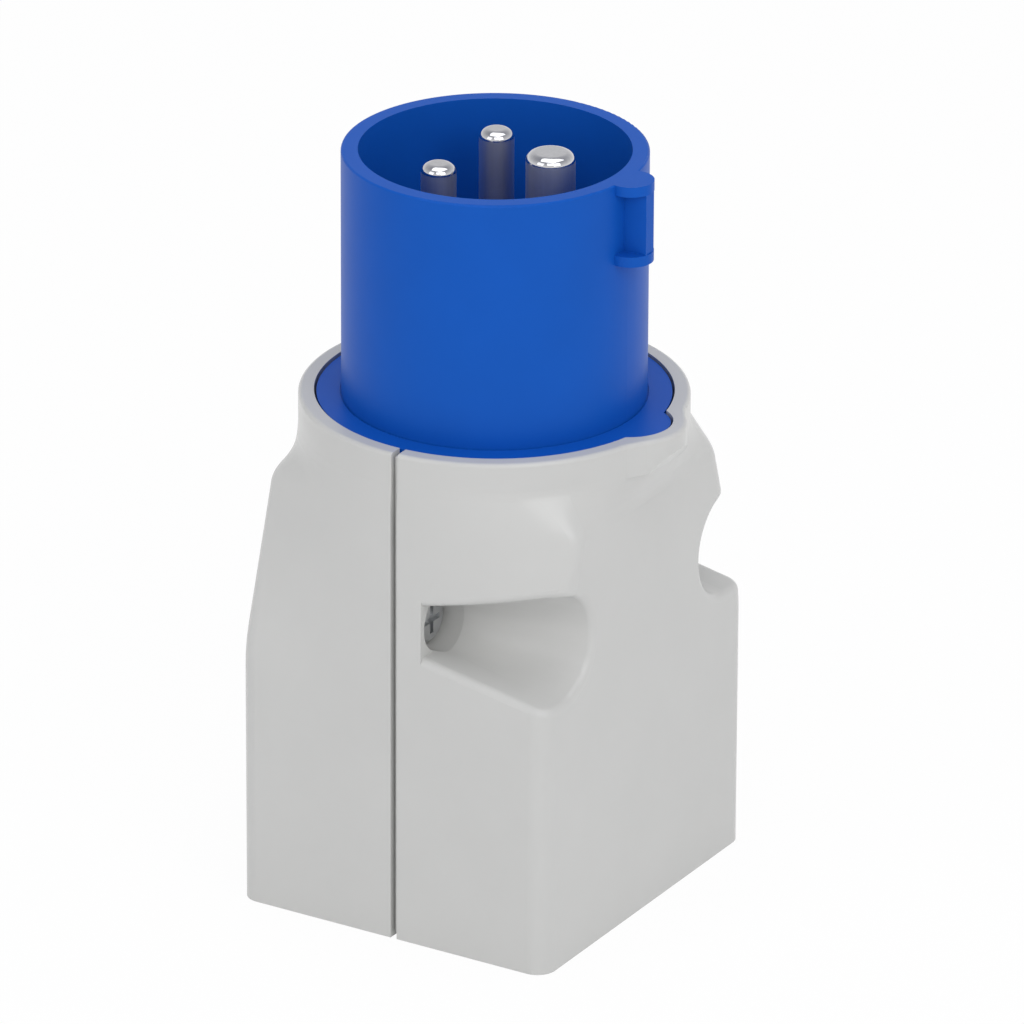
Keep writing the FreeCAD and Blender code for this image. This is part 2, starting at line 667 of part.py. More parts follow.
def slot_section(body, name, sign, lift, half):
    """Section of an open screw slot: round inside, straight out through the wall."""
    sketch = new_sketch(body, name, "YZ_Plane", lift)
    out = 1 if sign == "" else -1
    middle, far = sign + "screw_across", sign + "(housing_depth / 2 + pocket_large)"
    low, high = "screw_level - %s" % half, "screw_level + %s" % half
    outer_low, outer_high = V(number(far), number(low), 0), V(number(far), number(high), 0)
    inner_low, inner_high = V(number(middle), number(low), 0), V(number(middle), number(high), 0)
    turns = (0.5, 1.5) if out > 0 else (-0.5, 0.5)
    sketch.addGeometry(Part.LineSegment(inner_low, outer_low))
    sketch.addGeometry(Part.LineSegment(outer_low, outer_high))
    sketch.addGeometry(Part.LineSegment(outer_high, inner_high))
    hub = Part.Circle(V(number(middle), number("screw_level"), 0), UP, number(half))
    sketch.addGeometry(Part.ArcOfCircle(hub, turns[0] * math.pi, turns[1] * math.pi))
    for first, second in ((0, 1), (1, 2)):
        sketch.addConstraint(Sketcher.Constraint("Coincident", first, 2, second, 1))
    arc_first, arc_last = (1, 2) if out > 0 else (2, 1)
    sketch.addConstraint(Sketcher.Constraint("Coincident", 2, 2, 3, arc_first))
    sketch.addConstraint(Sketcher.Constraint("Coincident", 0, 1, 3, arc_last))
    for geometry, point, across, level in ((0, 1, middle, low), (1, 1, far, low), (1, 2, far, high),
                                           (2, 2, middle, high), (3, 3, middle, "screw_level")):
        hold(sketch, "DistanceX", geometry, point, across)
        if (geometry, point) != (3, 3):
            hold(sketch, "DistanceY", geometry, point, level)
    return sketch


def housing_right(inside, shelf):
    walls = [part_object("Cone", "pocket_wall_" + end,
                         {"Radius1": "pocket_small + pocket_wall", "Radius2": "pocket_large + pocket_wall",
                          "Height": "housing_width / 2"},
                         ("0", sign + "screw_across", "screw_level"), V(1, 0, 0))
             for end, sign in ENDS]
    blank = half_blank("right", inside, [shelf] + clamp_ribs("right", 1) + walls, 1)
    body = based_body("housing_right", blank)

    groove = new_sketch(body, "seam_groove", "YZ_Plane")
    seam_outline(groove, "seam_deep")
    extrude(body, "Pocket", groove, "seam_width", True)
    slot = new_sketch(body, "lip_slot", "YZ_Plane")
    for end, sign in ENDS:
        outline(slot, lip_corners(end == "back", "fit_gap"))
    extrude(body, "Pocket", slot, "lip_reach + fit_gap", True)

    for end, sign in ENDS:
        small = slot_section(body, "slot_small_" + end, sign, "pocket_start", "pocket_small")
        large = slot_section(body, "slot_large_" + end, sign, "housing_width / 2 + fit_gap", "pocket_large")
        loft(body, "SubtractiveLoft", "slot_" + end, [small, large], True)

    def slot_end(edge):
        middle = edge.valueAt((edge.FirstParameter + edge.LastParameter) / 2)
        return (all(near(vertex.X, number("housing_width / 2")) for vertex in edge.Vertexes)
                and near(middle.z, number("screw_level"), number("pocket_small"))
                and abs(middle.y) < number("screw_across - pocket_small"))

    dress(body, "Fillet", "mouth_round", slot_end, "slot_mouths")
    bores = new_sketch(body, "screw_bores", "YZ_Plane", "screw_seat")
    holes = new_sketch(body, "screw_ways", "YZ_Plane")
    for end, sign in ENDS:
        circle(bores, sign + "screw_across", "screw_level", "pocket_bore")
        circle(holes, sign + "screw_across", "screw_level", "screw_radius + fit_gap")
    extrude(body, "Pocket", bores, "housing_width", True)
    extrude(body, "Pocket", holes, "housing_width", True)
    return body


# Blue plug sleeve

def plug_sleeve():
    body = new_body("plug_sleeve")
    form = new_sketch(body, "sleeve_profile", "XZ_Plane")
    outline(form, [
        ("0", "cup_floor"),
        ("sleeve_radius - sleeve_wall", "cup_floor"),
        ("sleeve_radius - sleeve_wall", "sleeve_rim"),
        ("sleeve_radius", "sleeve_rim"),
        ("sleeve_radius", "flange_top"),
        ("flange_radius", "flange_top"),
        ("flange_radius", "flange_top - flange_thickness"),
        ("sleeve_radius", "flange_top - flange_thickness"),
        ("sleeve_radius", "ring_top"),
        ("ring_radius", "ring_top"),
        ("ring_radius", "ring_top - ring_thickness"),
        ("skirt_radius", "ring_top - ring_thickness"),
        ("skirt_radius", "skirt_bottom"),
        ("skirt_radius - skirt_wall", "skirt_bottom"),
        ("skirt_radius - skirt_wall", "cup_floor - cup_thickness"),
        ("0", "cup_floor - cup_thickness"),
    ])
    turn(body, "Revolution", form)
    lobe = new_sketch(body, "flange_lobe", "XY_Plane", "flange_top - flange_thickness")
    circle(lobe, "key_offset", "0", "key_radius")
    extrude(body, "Pad", lobe, "flange_thickness")
    clear = new_sketch(body, "lobe_clear", "XY_Plane", "cup_floor")
    circle(clear, "0", "0", "sleeve_radius - sleeve_wall")
    extrude(body, "Pocket", clear, "flange_thickness", True)

    for name, low in (("lug_upper_web", "sleeve_rim - lug_web"),
                      ("lug_lower_web", "sleeve_rim - lug_height")):
        web = new_sketch(body, name, "XY_Plane", low)
        circle(web, "lug_offset", "0", "lug_radius")
        extrude(body, "Pad", web, "lug_web")
    rib = new_sketch(body, "lug_rib", "XY_Plane", "sleeve_rim - lug_height")
    box_outline(rib, "sleeve_radius - sleeve_wall / 2", "-lug_rib",
                "lug_offset + sqrt(lug_radius ^ 2 - lug_rib ^ 2)", "lug_rib")
    extrude(body, "Pad", rib, "lug_height")
    bore = new_sketch(body, "lug_clear", "XY_Plane", "cup_floor + cup_thickness")
    circle(bore, "0", "0", "sleeve_radius - sleeve_wall")
    extrude(body, "Pocket", bore, "sleeve_rim", True)

    seats = new_sketch(body, "pin_seats", "XY_Plane", "cup_floor - cup_thickness")
    ways = new_sketch(body, "pin_ways", "XY_Plane", "cup_floor - cup_thickness")
    for name, radius, tip, angle in PINS:
        across, along = round_place("pin_circle", angle)
        circle(seats, across, along, "collar_pin + fit_gap")
        circle(ways, across, along, radius + " + pin_neck + fit_gap / 2")
    extrude(body, "Pocket", seats, "shoulder_pin", True)
    extrude(body, "Pocket", ways, "2 * cup_thickness", True)
    pilots = new_sketch(body, "plate_pilots", "XY_Plane", "cup_floor - cup_thickness")
    for angle in PLATE_SCREWS:
        across, along = round_place("plate_screw_circle", angle)
        circle(pilots, across, along, "plate_screw + fit_gap / 2")
    extrude(body, "Pocket", pilots, "plate_screw_long - plate_thickness + fit_gap", True)
    dress(body, "Fillet", "rim_round", round_edge("sleeve_radius", "sleeve_rim"), "rim_fillet")
    crease = new_sketch(body, "foot_crease", "XZ_Plane")
    box_outline(crease, "sleeve_radius", "flange_top - foot_groove", "sleeve_radius + foot_groove",
                "flange_top + fit_gap")
    turn(body, "Groove", crease)
    return body


def round_place(circle_radius, angle):
    """A place on a circle about the sleeve's axis, as two expressions."""
    return "%s * cos(%d deg)" % (circle_radius, angle), "%s * sin(%d deg)" % (circle_radius, angle)


def stand(body, rotation, across="0", along="0", level="0"):
    """Moves a body that was drawn on its own axes to its place in the adapter."""
    body.Placement.Rotation = rotation
    for key, text in zip("xyz", (across, along, level)):
        body.setExpression("Placement.Base." + key, bound(text))
    return body


def towards(direction):
    """Turns a screw's head to a direction."""
    return FreeCAD.Rotation(UP, direction)


PINS = (("pin_live", "line_pin", "line_tip", 240),
        ("pin_neutral", "line_pin", "line_tip", 120),
        ("pin_earth", "earth_pin", "earth_tip", 0))
PLATE_SCREWS = (60, 180, 300)


def plug_pin(label, radius, tip, angle):
    """Turned pin: free shank, shoulder in the sleeve's floor, drilled terminal end."""
    body = new_body(label)
    form = new_sketch(body, label + "_profile", "XZ_Plane")
    shoulder = "cup_floor - cup_thickness"
    outline(form, [
        ("0", "tail_bottom"),
        ("tail_radius", "tail_bottom"),
        ("tail_radius", shoulder),
        ("collar_pin", shoulder),
        ("collar_pin", "%s + shoulder_pin" % shoulder),
        (radius + " + pin_neck", "%s + shoulder_pin" % shoulder),
        (radius + " + pin_neck", "cup_floor"),
        (radius, "cup_floor"),
        (radius, tip),
        ("0", tip),
    ])
    turn(body, "Revolution", form)
    bore = new_sketch(body, label + "_bore", "XY_Plane", "tail_bottom")
    circle(bore, "0", "0", "wire_bore")
    extrude(body, "Pocket", bore, "bore_depth", True)
    thread = new_sketch(body, label + "_thread", "YZ_Plane")
    circle(thread, "0", "tail_bottom + bore_depth / 2", "terminal_radius + fit_gap / 2")
    extrude(body, "Pocket", thread, "2 * tail_radius", True)
    dress(body, "Fillet", "tip_round", round_edge(radius, tip), label + "_tip")
    across, along = round_place("pin_circle", angle)
    return stand(body, FreeCAD.Rotation(UP, angle), across, along)


def pin_plate():
    """Plate under the sleeve's floor that keeps the pins' shoulders in their seats."""
    body = new_body("pin_plate")
    disc = new_sketch(body, "plate_disc", "XY_Plane", "cup_floor - cup_thickness - plate_thickness")
    circle(disc, "0", "0", "plate_radius")
    for name, radius, tip, angle in PINS:
        across, along = round_place("pin_circle", angle)
        circle(disc, across, along, "tail_radius + fit_gap")
    for angle in PLATE_SCREWS:
        across, along = round_place("plate_screw_circle", angle)
        circle(disc, across, along, "plate_screw + fit_gap")
    extrude(body, "Pad", disc, "plate_thickness")
    return body


# Screws: turned about their own Z axis, the seat of the head at Z = 0, the head above it

def screw(label, radius, length, head, cap, cross=False):
    body = new_body(label)
    form = new_sketch(body, label + "_profile", "XZ_Plane")
    outline(form, [
        ("0", "-(%s)" % length),
        (radius, "-(%s)" % length),
        (radius, "0"),
        (head, "0"),
        (head, cap),
        ("0", cap),
    ])
    turn(body, "Revolution", form)
    slot = new_sketch(body, label + "_slot", "XY_Plane", cap)
    arm, thin = "%s * cross_share" % head, "%s * slot_share" % head
    if cross:
        outline(slot, [(thin, "-" + thin), (arm, "-" + thin), (arm, thin), (thin, thin),
                       (thin, arm), ("-" + thin, arm), ("-" + thin, thin), ("-" + arm, thin),
                       ("-" + arm, "-" + thin), ("-" + thin, "-" + thin), ("-" + thin, "-" + arm),
                       (thin, "-" + arm)])
    else:
        box_outline(slot, "-2 * %s" % head, "-" + thin, "2 * %s" % head, thin)
    extrude(body, "Pocket", slot, "%s / 2" % cap)
    dress(body, "Chamfer", "%s / 4" % cap, round_edge(head, cap), label + "_edge")
    return body


# Household socket

def socket_cup():
    body = new_body("socket_cup")
    form = new_sketch(body, "cup_profile", "XZ_Plane")
    outline(form, [
        ("socket_radius", "socket_inset"),
        ("socket_radius + socket_wall", "socket_inset"),
        ("socket_radius + socket_wall", "bottom_thickness + fit_gap"),
        ("socket_flange", "bottom_thickness + fit_gap"),
        ("socket_flange", "bottom_thickness + fit_gap + socket_flange_thick"),
        ("socket_radius + socket_wall", "bottom_thickness + fit_gap + socket_flange_thick"),
        ("socket_radius + socket_wall", "socket_deep + socket_floor"),
        ("0", "socket_deep + socket_floor"),
        ("0", "socket_deep"),
        ("socket_radius", "socket_deep"),
    ])
    turn(body, "Revolution", form)
    ears = new_sketch(body, "clip_ears", "XY_Plane", "bottom_thickness + fit_gap")
    box_outline(ears, "-ear_width / 2", "-ear_reach", "ear_width / 2", "ear_reach")
    extrude(body, "Pad", ears, "socket_deep + socket_floor - bottom_thickness - fit_gap")
    recess = new_sketch(body, "recess_clear", "XY_Plane")
    circle(recess, "0", "0", "socket_radius")
    extrude(body, "Pocket", recess, "socket_deep", True)
    clips = new_sketch(body, "clip_slots", "XY_Plane", "slot_start")
    for sign in ("-", ""):
        near_side, far_side = sign + "(socket_radius - clip_inset)", sign + "slot_reach"
        box_outline(clips, "-slot_width / 2", near_side, "slot_width / 2", far_side)
    extrude(body, "Pocket", clips, "socket_deep + socket_floor", True)
    guides = new_sketch(body, "guide_ribs", "XY_Plane", "socket_deep")
    for sign in ("-", ""):
        inner, outer = sign + "(socket_radius - guide_height)", sign + "(socket_radius + socket_wall / 2)"
        box_outline(guides, inner, "-guide_width / 2", outer, "guide_width / 2")
    extrude(body, "Pad", guides, "socket_deep - 3 * socket_inset", True)
    holes = new_sketch(body, "contact_holes", "XY_Plane", "socket_deep")
    for sign in ("-", ""):
        circle(holes, sign + "hole_pitch", "0", "hole_radius")
    circle(holes, "0", "0", "centre_screw + fit_gap")
    extrude(body, "Pocket", holes, "socket_floor", True)
    sink = new_sketch(body, "head_sink", "XY_Plane", "socket_deep")
    circle(sink, "0", "0", "centre_head + fit_gap")
    extrude(body, "Pocket", sink, "centre_cap", True)
    return body


def contact(label, turned):
    """Slit tube for one plug pin with a drilled terminal block beside its upper end."""
    body = new_body(label)
    tube = new_sketch(body, label + "_tube", "XY_Plane", "socket_deep + socket_floor + fit_gap")
    circle(tube, "hole_pitch", "0", "contact_bore + contact_wall")
    extrude(body, "Pad", tube, "block_level + block_height - socket_deep - socket_floor - fit_gap")
    block = new_sketch(body, label + "_block", "XY_Plane", "block_level")
    box_outline(block, "hole_pitch", "-block_width / 2", "block_reach", "block_width / 2")
    extrude(body, "Pad", block, "block_height")
    bore = new_sketch(body, label + "_bore", "XY_Plane")
    circle(bore, "hole_pitch", "0", "contact_bore")
    extrude(body, "Pocket", bore, "2 * block_level", True)
    slit = new_sketch(body, label + "_slit", "XY_Plane")
    box_outline(slit, "hole_pitch - 2 * contact_bore", "-contact_slit / 2", "hole_pitch", "contact_slit / 2")
    extrude(body, "Pocket", slit, "block_level", True)
    wire = new_sketch(body, label + "_wire", "XY_Plane", "block_level + block_height")
    circle(wire, "wire_offset", "0", "wire_bore")
    extrude(body, "Pocket", wire, "bore_depth")
    thread = new_sketch(body, label + "_thread", "YZ_Plane", "wire_offset")
    circle(thread, "0", "block_level + block_height / 2", "terminal_radius + fit_gap / 2")
    extrude(body, "Pocket", thread, "block_reach", True)
    return stand(body, FreeCAD.Rotation(UP, turned))


def earth_strap():
    """Spring strip across the back of the cup, bent down into a clip at each end."""
    body = new_body("earth_strap")
    back = "socket_deep + socket_floor"
    strip = new_sketch(body, "strap_bend", "YZ_Plane")
    outer, inner = "strap_reach", "(strap_reach - strap_thickness)"
    half = [
        (outer, back + " + strap_thickness"),
        (outer, "clip_shoulder"),
        ("(%s - clip_inset)" % outer, "clip_level"),
        (outer, "clip_end"),
        (inner, "clip_end"),
        ("(%s - clip_inset)" % inner, "clip_level"),
        (inner, "clip_shoulder"),
        (inner, back),
    ]
    outline(strip, half + [("-" + u, v) for u, v in reversed(half)])
    made = extrude(body, "Pad", strip, "strap_width")
    made.SideType = "Symmetric"
    holes = new_sketch(body, "strap_holes", "XY_Plane", back)
    circle(holes, "0", "0", "centre_screw + fit_gap")
    circle(holes, "0", "-earth_offset", "rivet_radius + fit_gap / 2")
    extrude(body, "Pocket", holes, "2 * strap_thickness", True)
    return body


def earth_terminal():
    """Block on the strap with a wire hole from above and a screw from the front."""
    body = new_body("earth_terminal")
    base = "socket_deep + socket_floor + strap_thickness"
    block = new_sketch(body, "earth_block", "XY_Plane", base)
    box_outline(block, "-block_width / 2", "-earth_offset - block_width / 2",
                "block_width / 2", "-earth_offset + block_width / 2")
    extrude(body, "Pad", block, "block_level + block_height - (%s)" % base)
    rivet = new_sketch(body, "earth_rivet", "XY_Plane", "socket_deep + socket_floor + fit_gap")
    circle(rivet, "0", "-earth_offset", "rivet_radius")
    extrude(body, "Pad", rivet, "strap_thickness")
    wire = new_sketch(body, "earth_wire_hole", "XY_Plane", "block_level + block_height")
    circle(wire, "0", "-earth_offset", "wire_bore")
    extrude(body, "Pocket", wire, "bore_depth")
    thread = new_sketch(body, "earth_thread", "XZ_Plane", "earth_offset")
    circle(thread, "0", "block_level + block_height / 2", "terminal_radius + fit_gap / 2")
    extrude(body, "Pocket", thread, "block_width", True)
    return body


def contact_carrier():
    """Insulating block on the back of the cup, bored for the contact tubes."""
    body = new_body("contact_carrier")
    back = "socket_deep + socket_floor"
    block = new_sketch(body, "carrier_block", "XY_Plane", back)
    circle(block, "0", "0", "carrier_radius")
    for sign in ("-", ""):
        circle(block, sign + "hole_pitch", "0", "contact_bore + contact_wall + fit_gap")
    wide = "(block_width / 2 + fit_gap)"
    box_outline(block, "-" + wide, "-earth_offset - %s" % wide, wide, "-earth_offset + %s" % wide)
    extrude(body, "Pad", block, "block_level - (%s)" % back)
    groove = new_sketch(body, "strap_groove", "XY_Plane", back)
    wide = "(strap_width / 2 + fit_gap)"
    box_outline(groove, "-" + wide, "-2 * carrier_radius", wide, "2 * carrier_radius")
    extrude(body, "Pocket", groove, "strap_thickness + fit_gap", True)
    pilot = new_sketch(body, "carrier_pilot", "XY_Plane", back)
    circle(pilot, "0", "0", "centre_screw + fit_gap / 2")
    extrude(body, "Pocket", pilot, "centre_length - socket_floor + centre_cap + fit_gap", True)
    return body


# Wires from the pins to the socket

def wire(label, start, end):
    """Insulated wire in one upright plane: down, across and down again, with bare ends."""
    body = new_body(label)
    run_x, run_y = "(%s - (%s))" % (end[0], start[0]), "(%s - (%s))" % (end[1], start[1])
    across = "sqrt(%s ^ 2 + %s ^ 2)" % (run_x, run_y)
    top, low = "(tail_bottom - fit_gap)", "(block_level + block_height + fit_gap)"
    upper, lower = "(%s - wire_straight)" % top, "(%s + wire_straight)" % low
    far, high, deep = number(across), number(upper), number(lower)
    half_turn = math.atan2(far, high - deep) / 2
    bend = number("wire_bend")
    cut_back = bend * math.tan(half_turn)
    slope = V(math.sin(2 * half_turn), -math.cos(2 * half_turn), 0)
    corner, last = V(0, high, 0), V(far, deep, 0)
    first_hub, last_hub = V(bend, high + cut_back, 0), V(far - bend, deep - cut_back, 0)
    path = new_sketch(body, label + "_path", "XZ_Plane")
    path.addGeometry(Part.LineSegment(V(0, number(top), 0), corner + V(0, cut_back, 0)))
    path.addGeometry(Part.ArcOfCircle(Part.Circle(first_hub, UP, bend),
                                      math.pi, math.pi + 2 * half_turn))
    path.addGeometry(Part.LineSegment(corner + slope * cut_back, last - slope * cut_back))
    path.addGeometry(Part.ArcOfCircle(Part.Circle(last_hub, UP, bend), 0, 2 * half_turn))
    path.addGeometry(Part.LineSegment(last - V(0, cut_back, 0), V(far, number(low), 0)))
    joins = ((0, 2, 1, 1), (1, 2, 2, 1), (2, 2, 3, 2), (3, 1, 4, 1))
    for join in joins:
        path.addConstraint(Sketcher.Constraint("Tangent", *join))
    hold(path, "DistanceX", 0, 1, "0")
    hold(path, "DistanceY", 0, 1, top)
    path.addConstraint(Sketcher.Constraint("Vertical", 0))
    hold(path, "DistanceX", 4, 2, across)
    hold(path, "DistanceY", 4, 2, low)
    path.addConstraint(Sketcher.Constraint("Vertical", 4))
    for arc in (1, 3):
        tie = path.addConstraint(Sketcher.Constraint("Radius", arc, bend))
        path.setExpression("Constraints[%d]" % tie, bound("wire_bend"))
    mark = path.addGeometry(Part.Point(corner), True)
    hold(path, "DistanceX", mark, 1, "0")
    hold(path, "DistanceY", mark, 1, upper)
    path.addConstraint(Sketcher.Constraint("PointOnObject", mark, 1, 2))
    ring = new_sketch(body, label + "_section", "XY_Plane", top)
    circle(ring, "0", "0", "wire_radius")
    pipe = body.newObject("PartDesign::AdditivePipe", label + "_cover")
    pipe.Profile = ring
    pipe.Spine = (path, [])
    doc.recompute()
    for name, place, level, backwards in (("_upper_end", "0", top, False), ("_lower_end", across, low, True)):
        bare = new_sketch(body, label + name, "XY_Plane", level)
        circle(bare, place, "0", "core_radius")
        extrude(body, "Pad", bare, "bore_depth - 2 * fit_gap", backwards)
    turned = "atan2(%s; %s)" % (run_y, run_x)
    body.Placement.Rotation = FreeCAD.Rotation(UP, number(turned))
    body.setExpression("Placement.Rotation.Angle", bound(turned))
    body.setExpression("Placement.Base.x", bound(start[0]))
    body.setExpression("Placement.Base.y", bound(start[1]))
    return body


def build():
    parts = []
    inside, shelf = housing_space(), socket_shelf()
    parts += [housing_left(inside, shelf), housing_right(inside, shelf)]
    for end, sign in ENDS:
        made = screw("housing_screw_" + end, "screw_radius", "screw_length", "screw_head",
                     "head_height", True)
        parts.append(stand(made, towards(V(1, 0, 0)), "screw_seat", sign + "screw_across", "screw_level"))
    parts.append(plug_sleeve())
    level = "tail_bottom + bore_depth / 2"
    for label, radius, tip, angle in PINS:
        parts.append(plug_pin(label, radius, tip, angle))
        made = screw(label + "_screw", "terminal_radius", "tail_radius - core_radius", "terminal_head",
                     "terminal_cap")
        seat = "(pin_circle + tail_radius + fit_gap)"
        across, along = round_place(seat, angle)
        heading = V(math.cos(math.radians(angle)), math.sin(math.radians(angle)), 0)
        parts.append(stand(made, towards(heading), across, along, level))
    parts.append(pin_plate())
    for index, angle in enumerate(PLATE_SCREWS, 1):
        made = screw("plate_screw_%d" % index, "plate_screw", "plate_screw_long", "plate_screw_head",
                     "plate_screw_cap")
        across, along = round_place("plate_screw_circle", angle)
        parts.append(stand(made, towards(-UP), across, along, "cup_floor - cup_thickness - plate_thickness"))
    parts += [socket_cup(), contact_carrier(), contact("contact_live", 180), contact("contact_neutral", 0)]
    parts += [earth_strap(), earth_terminal()]
    made = screw("socket_screw", "centre_screw", "centre_length", "centre_head", "centre_cap", True)
    parts.append(stand(made, towards(-UP), "0", "0", "socket_deep + centre_cap"))
    level = "block_level + block_height / 2"
    gap = "block_reach - wire_offset - core_radius"
    for label, heading, across, along, length in (
            ("contact_live_screw", V(-1, 0, 0), "-(block_reach + fit_gap)", "0", gap),
            ("contact_neutral_screw", V(1, 0, 0), "block_reach + fit_gap", "0", gap),
            ("earth_terminal_screw", V(0, -1, 0), "0", "-(earth_offset + block_width / 2 + fit_gap)",
             "block_width / 2 - core_radius")):
        made = screw(label, "terminal_radius", length, "terminal_head", "terminal_cap")
        parts.append(stand(made, towards(heading), across, along, level))
    for name, angle, end in (("wire_live", 240, ("-wire_offset", "0")),
                             ("wire_neutral", 120, ("wire_offset", "0")),
                             ("wire_earth", 0, ("0", "-earth_offset"))):
        parts.append(wire(name, round_place("pin_circle", angle), end))
    doc.recompute()
    return parts


def check(parts):
    """Stops before anything is written if an object failed or a shape is bad."""
    for item in doc.Objects:
        if "Invalid" in item.State or "Error" in item.State:
            raise RuntimeError("%s failed: %s" % (item.Name, item.State))
    for part in parts:
        if part.Shape.isNull() or not part.Shape.isValid() or not part.Shape.Solids:
            raise RuntimeError("%s has no valid shape" % part.Label)
        print("%-24s solids %d volume %.1f" % (part.Label, len(part.Shape.Solids), part.Shape.Volume))


pieces = build()
check(pieces)
os.makedirs("parts", exist_ok=True)
for piece in pieces:
    piece.Shape.exportStep("parts/%s.step" % piece.Label)
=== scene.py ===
"""Plug adapter: finishes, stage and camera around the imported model."""

import math

import bpy
from bpy.props import FloatProperty, FloatVectorProperty, PointerProperty
from mathutils import Matrix, Vector


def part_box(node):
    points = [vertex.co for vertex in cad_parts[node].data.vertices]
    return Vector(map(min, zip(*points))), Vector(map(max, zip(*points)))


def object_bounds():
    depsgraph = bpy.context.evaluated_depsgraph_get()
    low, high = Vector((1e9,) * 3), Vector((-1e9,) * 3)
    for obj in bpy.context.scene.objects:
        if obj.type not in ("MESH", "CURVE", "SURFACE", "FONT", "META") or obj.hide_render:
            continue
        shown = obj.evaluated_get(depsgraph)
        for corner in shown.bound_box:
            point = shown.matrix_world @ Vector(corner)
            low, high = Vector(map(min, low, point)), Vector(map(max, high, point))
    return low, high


bl_info = {
    "name": "Plug adapter",
    "version": (1, 0, 0),
    "blender": (4, 5, 0),
    "location": "View3D > Sidebar > Plug adapter",
    "description": "Dresses a plug adapter with its plastics and metals on a pale stage",
    "category": "Object",
}

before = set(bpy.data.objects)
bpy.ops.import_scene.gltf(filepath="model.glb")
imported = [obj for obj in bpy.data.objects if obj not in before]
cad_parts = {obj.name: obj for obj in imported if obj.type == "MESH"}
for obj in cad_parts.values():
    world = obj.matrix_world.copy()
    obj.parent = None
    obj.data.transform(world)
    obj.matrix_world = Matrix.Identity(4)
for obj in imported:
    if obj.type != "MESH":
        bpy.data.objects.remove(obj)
CAD_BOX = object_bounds()
MM = 0.001

HOUSING = ("housing_left", "housing_right")
PINS = ("pin_live", "pin_neutral", "pin_earth")
CONTACTS = ("contact_live", "contact_neutral", "earth_terminal")
SCREWS = ("housing_screw_front", "housing_screw_back", "pin_live_screw", "pin_neutral_screw",
          "pin_earth_screw", "plate_screw_1", "plate_screw_2", "plate_screw_3",
          "contact_live_screw", "contact_neutral_screw", "earth_terminal_screw", "socket_screw")
INSULATORS = ("pin_plate", "contact_carrier")

# Unevenness of the moulded plastics
CLOUD_SIZE = 14 * MM
CLOUD_CHANGE = 0.012
SLEEVE_CLOUD_CHANGE = 0.03
GLOSS_SIZE = 2.2 * MM
GLOSS_CHANGE = 0.02
WAVE_SIZE = 9 * MM
WAVE_HEIGHT = 0.02 * MM
WAVE_STRENGTH = 0.15
GRAIN_STRENGTH = 0.25
FINE_GRAIN, CUP_GRAIN, COARSE_GRAIN = 0.0015 * MM, 0.005 * MM, 0.01 * MM
PLAIN_SPECULAR = 0.5
SLEEVE_SPECULAR = 0.10
CUP_ROUGHNESS = 0.4
INSULATOR_ROUGHNESS = 0.55

# Unevenness of the metals
HAZE_SIZE = 3 * MM
HAZE_SHADE = 0.93
HAZE_DULLER, HAZE_BRIGHTER = 0.07, 0.04
MARK_PITCH = 0.22 * MM
MARK_STRETCH = 14
MARK_HEIGHT = 0.002 * MM
MARK_STRENGTH = 0.6
SPRING_ROUGHNESS, BRASS_ROUGHNESS, SCREW_ROUGHNESS = 0.28, 0.3, 0.32
STREAK_SIZE = 0.5 * MM
STREAK_STRETCH = (1, 1, 0.02)
STREAK_SHADE = 0.93
STREAK_HEIGHT = 0.004 * MM
STREAK_STRENGTH = 0.2
DRAWN_ROUGHNESS, POLISHED_ROUGHNESS = 0.42, 0.08
POLISH_FADE = 0.15 * MM

# Wire covering
COVER_SIZE = 0.5 * MM
COVER_CHANGE = 0.06
COVER_HEIGHT = 0.01 * MM
COVER_STRENGTH = 0.4
COVER_ROUGHNESS = 0.5
STRIPE_SCALE = 90

# Share of a noise's range over which a tint runs from its dark to its light colour
TINT_SPAN = (0.3, 0.7)

# Stage, in metres. FLOOR_GLOW is the floor's white share to the camera, and the rest of it
# keeps the shadow. SKY runs from the horizon up, and LAMPS gives each lamp's place and side.
FLOOR_REACH = 3.0
FLOOR_GREY = (0.94, 0.94, 0.94, 1)
FLOOR_GLOW = 0.95
WHITE = {"Color": (1, 1, 1, 1), "Strength": 1.0}
SKY = ((0.0, (1.0, 0.998, 0.99, 1)), (0.3, (0.74, 0.74, 0.75, 1)), (1.0, (0.24, 0.25, 0.29, 1)))
LAMPS = {
    "key": ((0.85, -0.45, 0.70), 0.6),
    "fill": ((-0.35, -0.90, 0.65), 0.6),
    "front": ((0.49, -0.81, 0.85), 0.6),
    "top": ((0.05, 0.0, 1.15), 1.1),
}
SENSOR_WIDTH = 36.0
NEAREST, FARTHEST = 0.01, 20.0


def colour(name, text, default):
    return FloatVectorProperty(name=name, description=text, subtype="COLOR", size=3,
                               min=0, max=1, default=default)


def factor(name, text, default):
    return FloatProperty(name=name, description=text, subtype="FACTOR", min=0, max=1,
                         default=default)


def angle(name, text, degrees):
    return FloatProperty(name=name, description=text, subtype="ANGLE",
                         default=math.radians(degrees))


def length(name, text, default, **limits):
    return FloatProperty(name=name, description=text, subtype="DISTANCE", unit="LENGTH",
                         default=default, **limits)


def power(name, text, default):
    return FloatProperty(name=name, description=text, unit="POWER", min=0, default=default)


